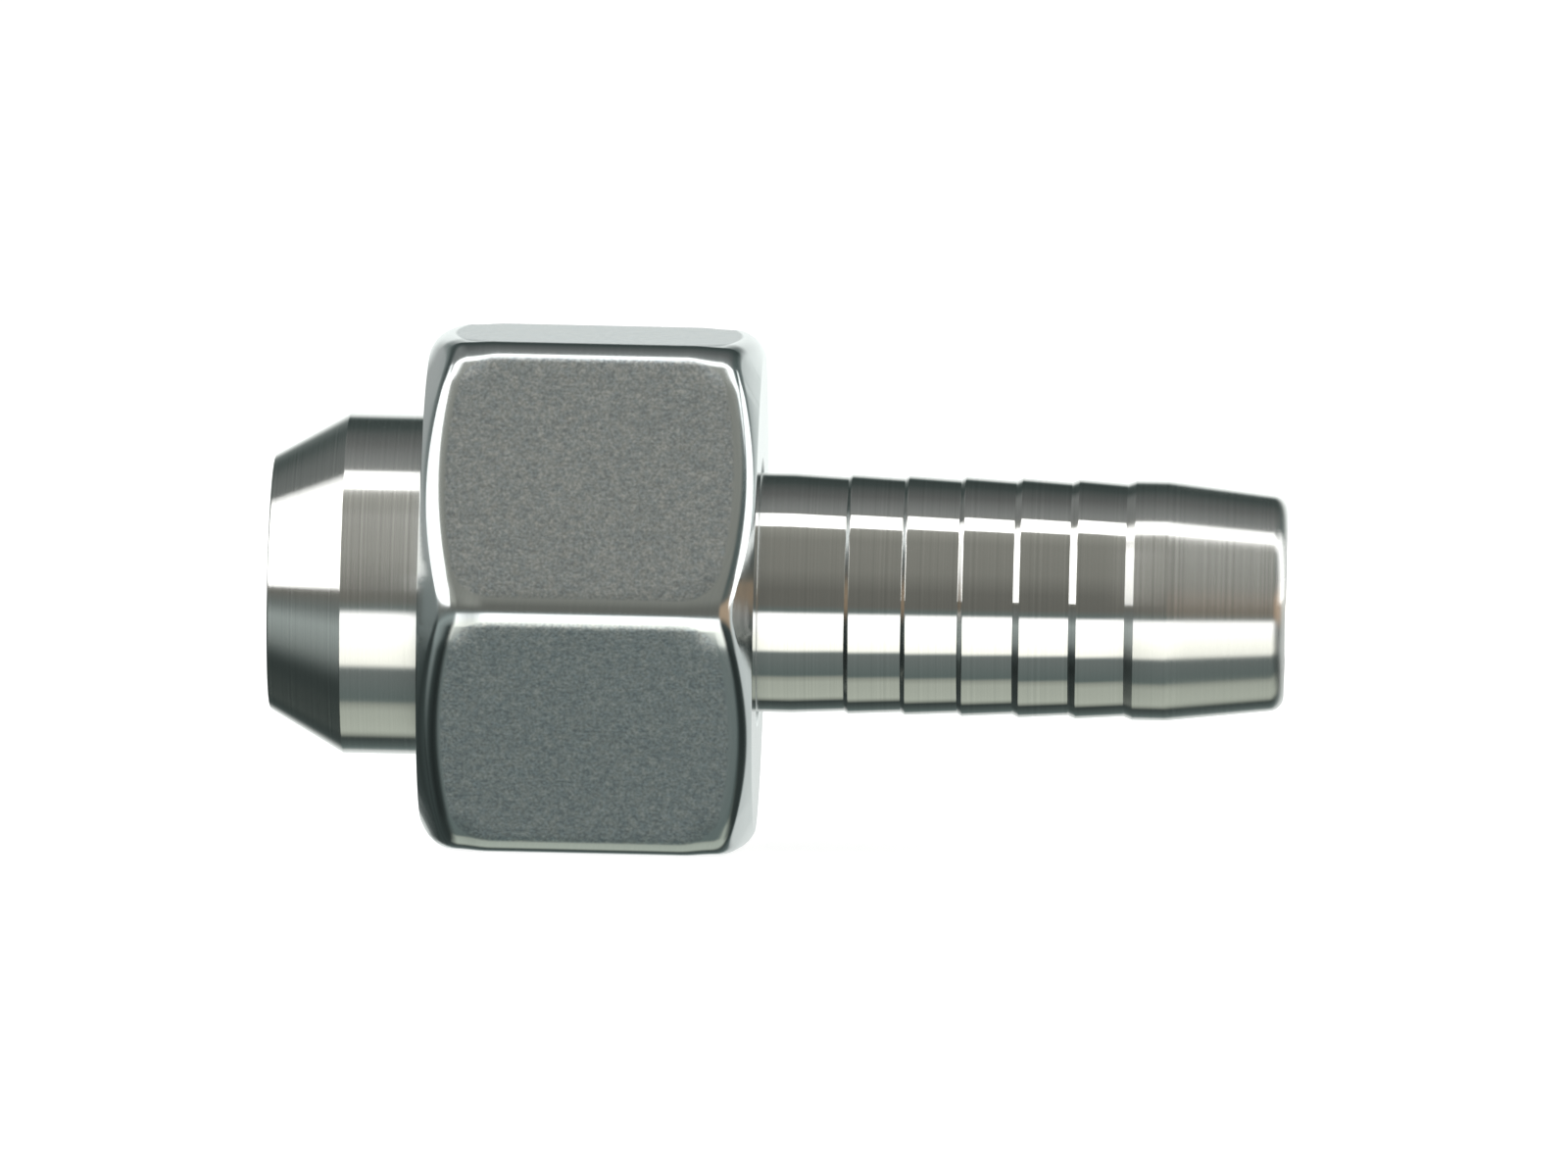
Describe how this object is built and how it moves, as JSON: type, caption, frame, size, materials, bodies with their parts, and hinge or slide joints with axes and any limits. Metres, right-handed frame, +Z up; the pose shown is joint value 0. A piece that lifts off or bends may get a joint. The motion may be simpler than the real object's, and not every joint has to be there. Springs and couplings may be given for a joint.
{
  "type": "union nut with hose tail",
  "caption": "Loose hexagon union nut on a turned steel hose tail with a sealing cone at one end and a grooved stem for a hose at the other.",
  "frame": {"origin": "centre of the sealing cone's end face, on the common axis of tail and nut", "axes": "+X along the axis from the sealing cone towards the hose end, +Z up, square to two flats of the nut"},
  "size_m": [0.0537, 0.0306, 0.027],
  "materials": {
    "turned_steel": "bright turned, fine circular tool marks",
    "nut_steel": "drawn flats with a fine mottled grain, tumbled bright edges"
  },
  "bodies": {
    "hose_tail": {"hose_tail": "turned_steel"},
    "union_nut": {"union_nut": "nut_steel"}
  },
  "joints": [
    {"name": "nut_spin", "type": "hinge", "parent": "hose_tail", "child": "union_nut", "pos_m": [0.017, 0, 0], "axis": [1, 0, 0], "continuous": true}
  ]
}
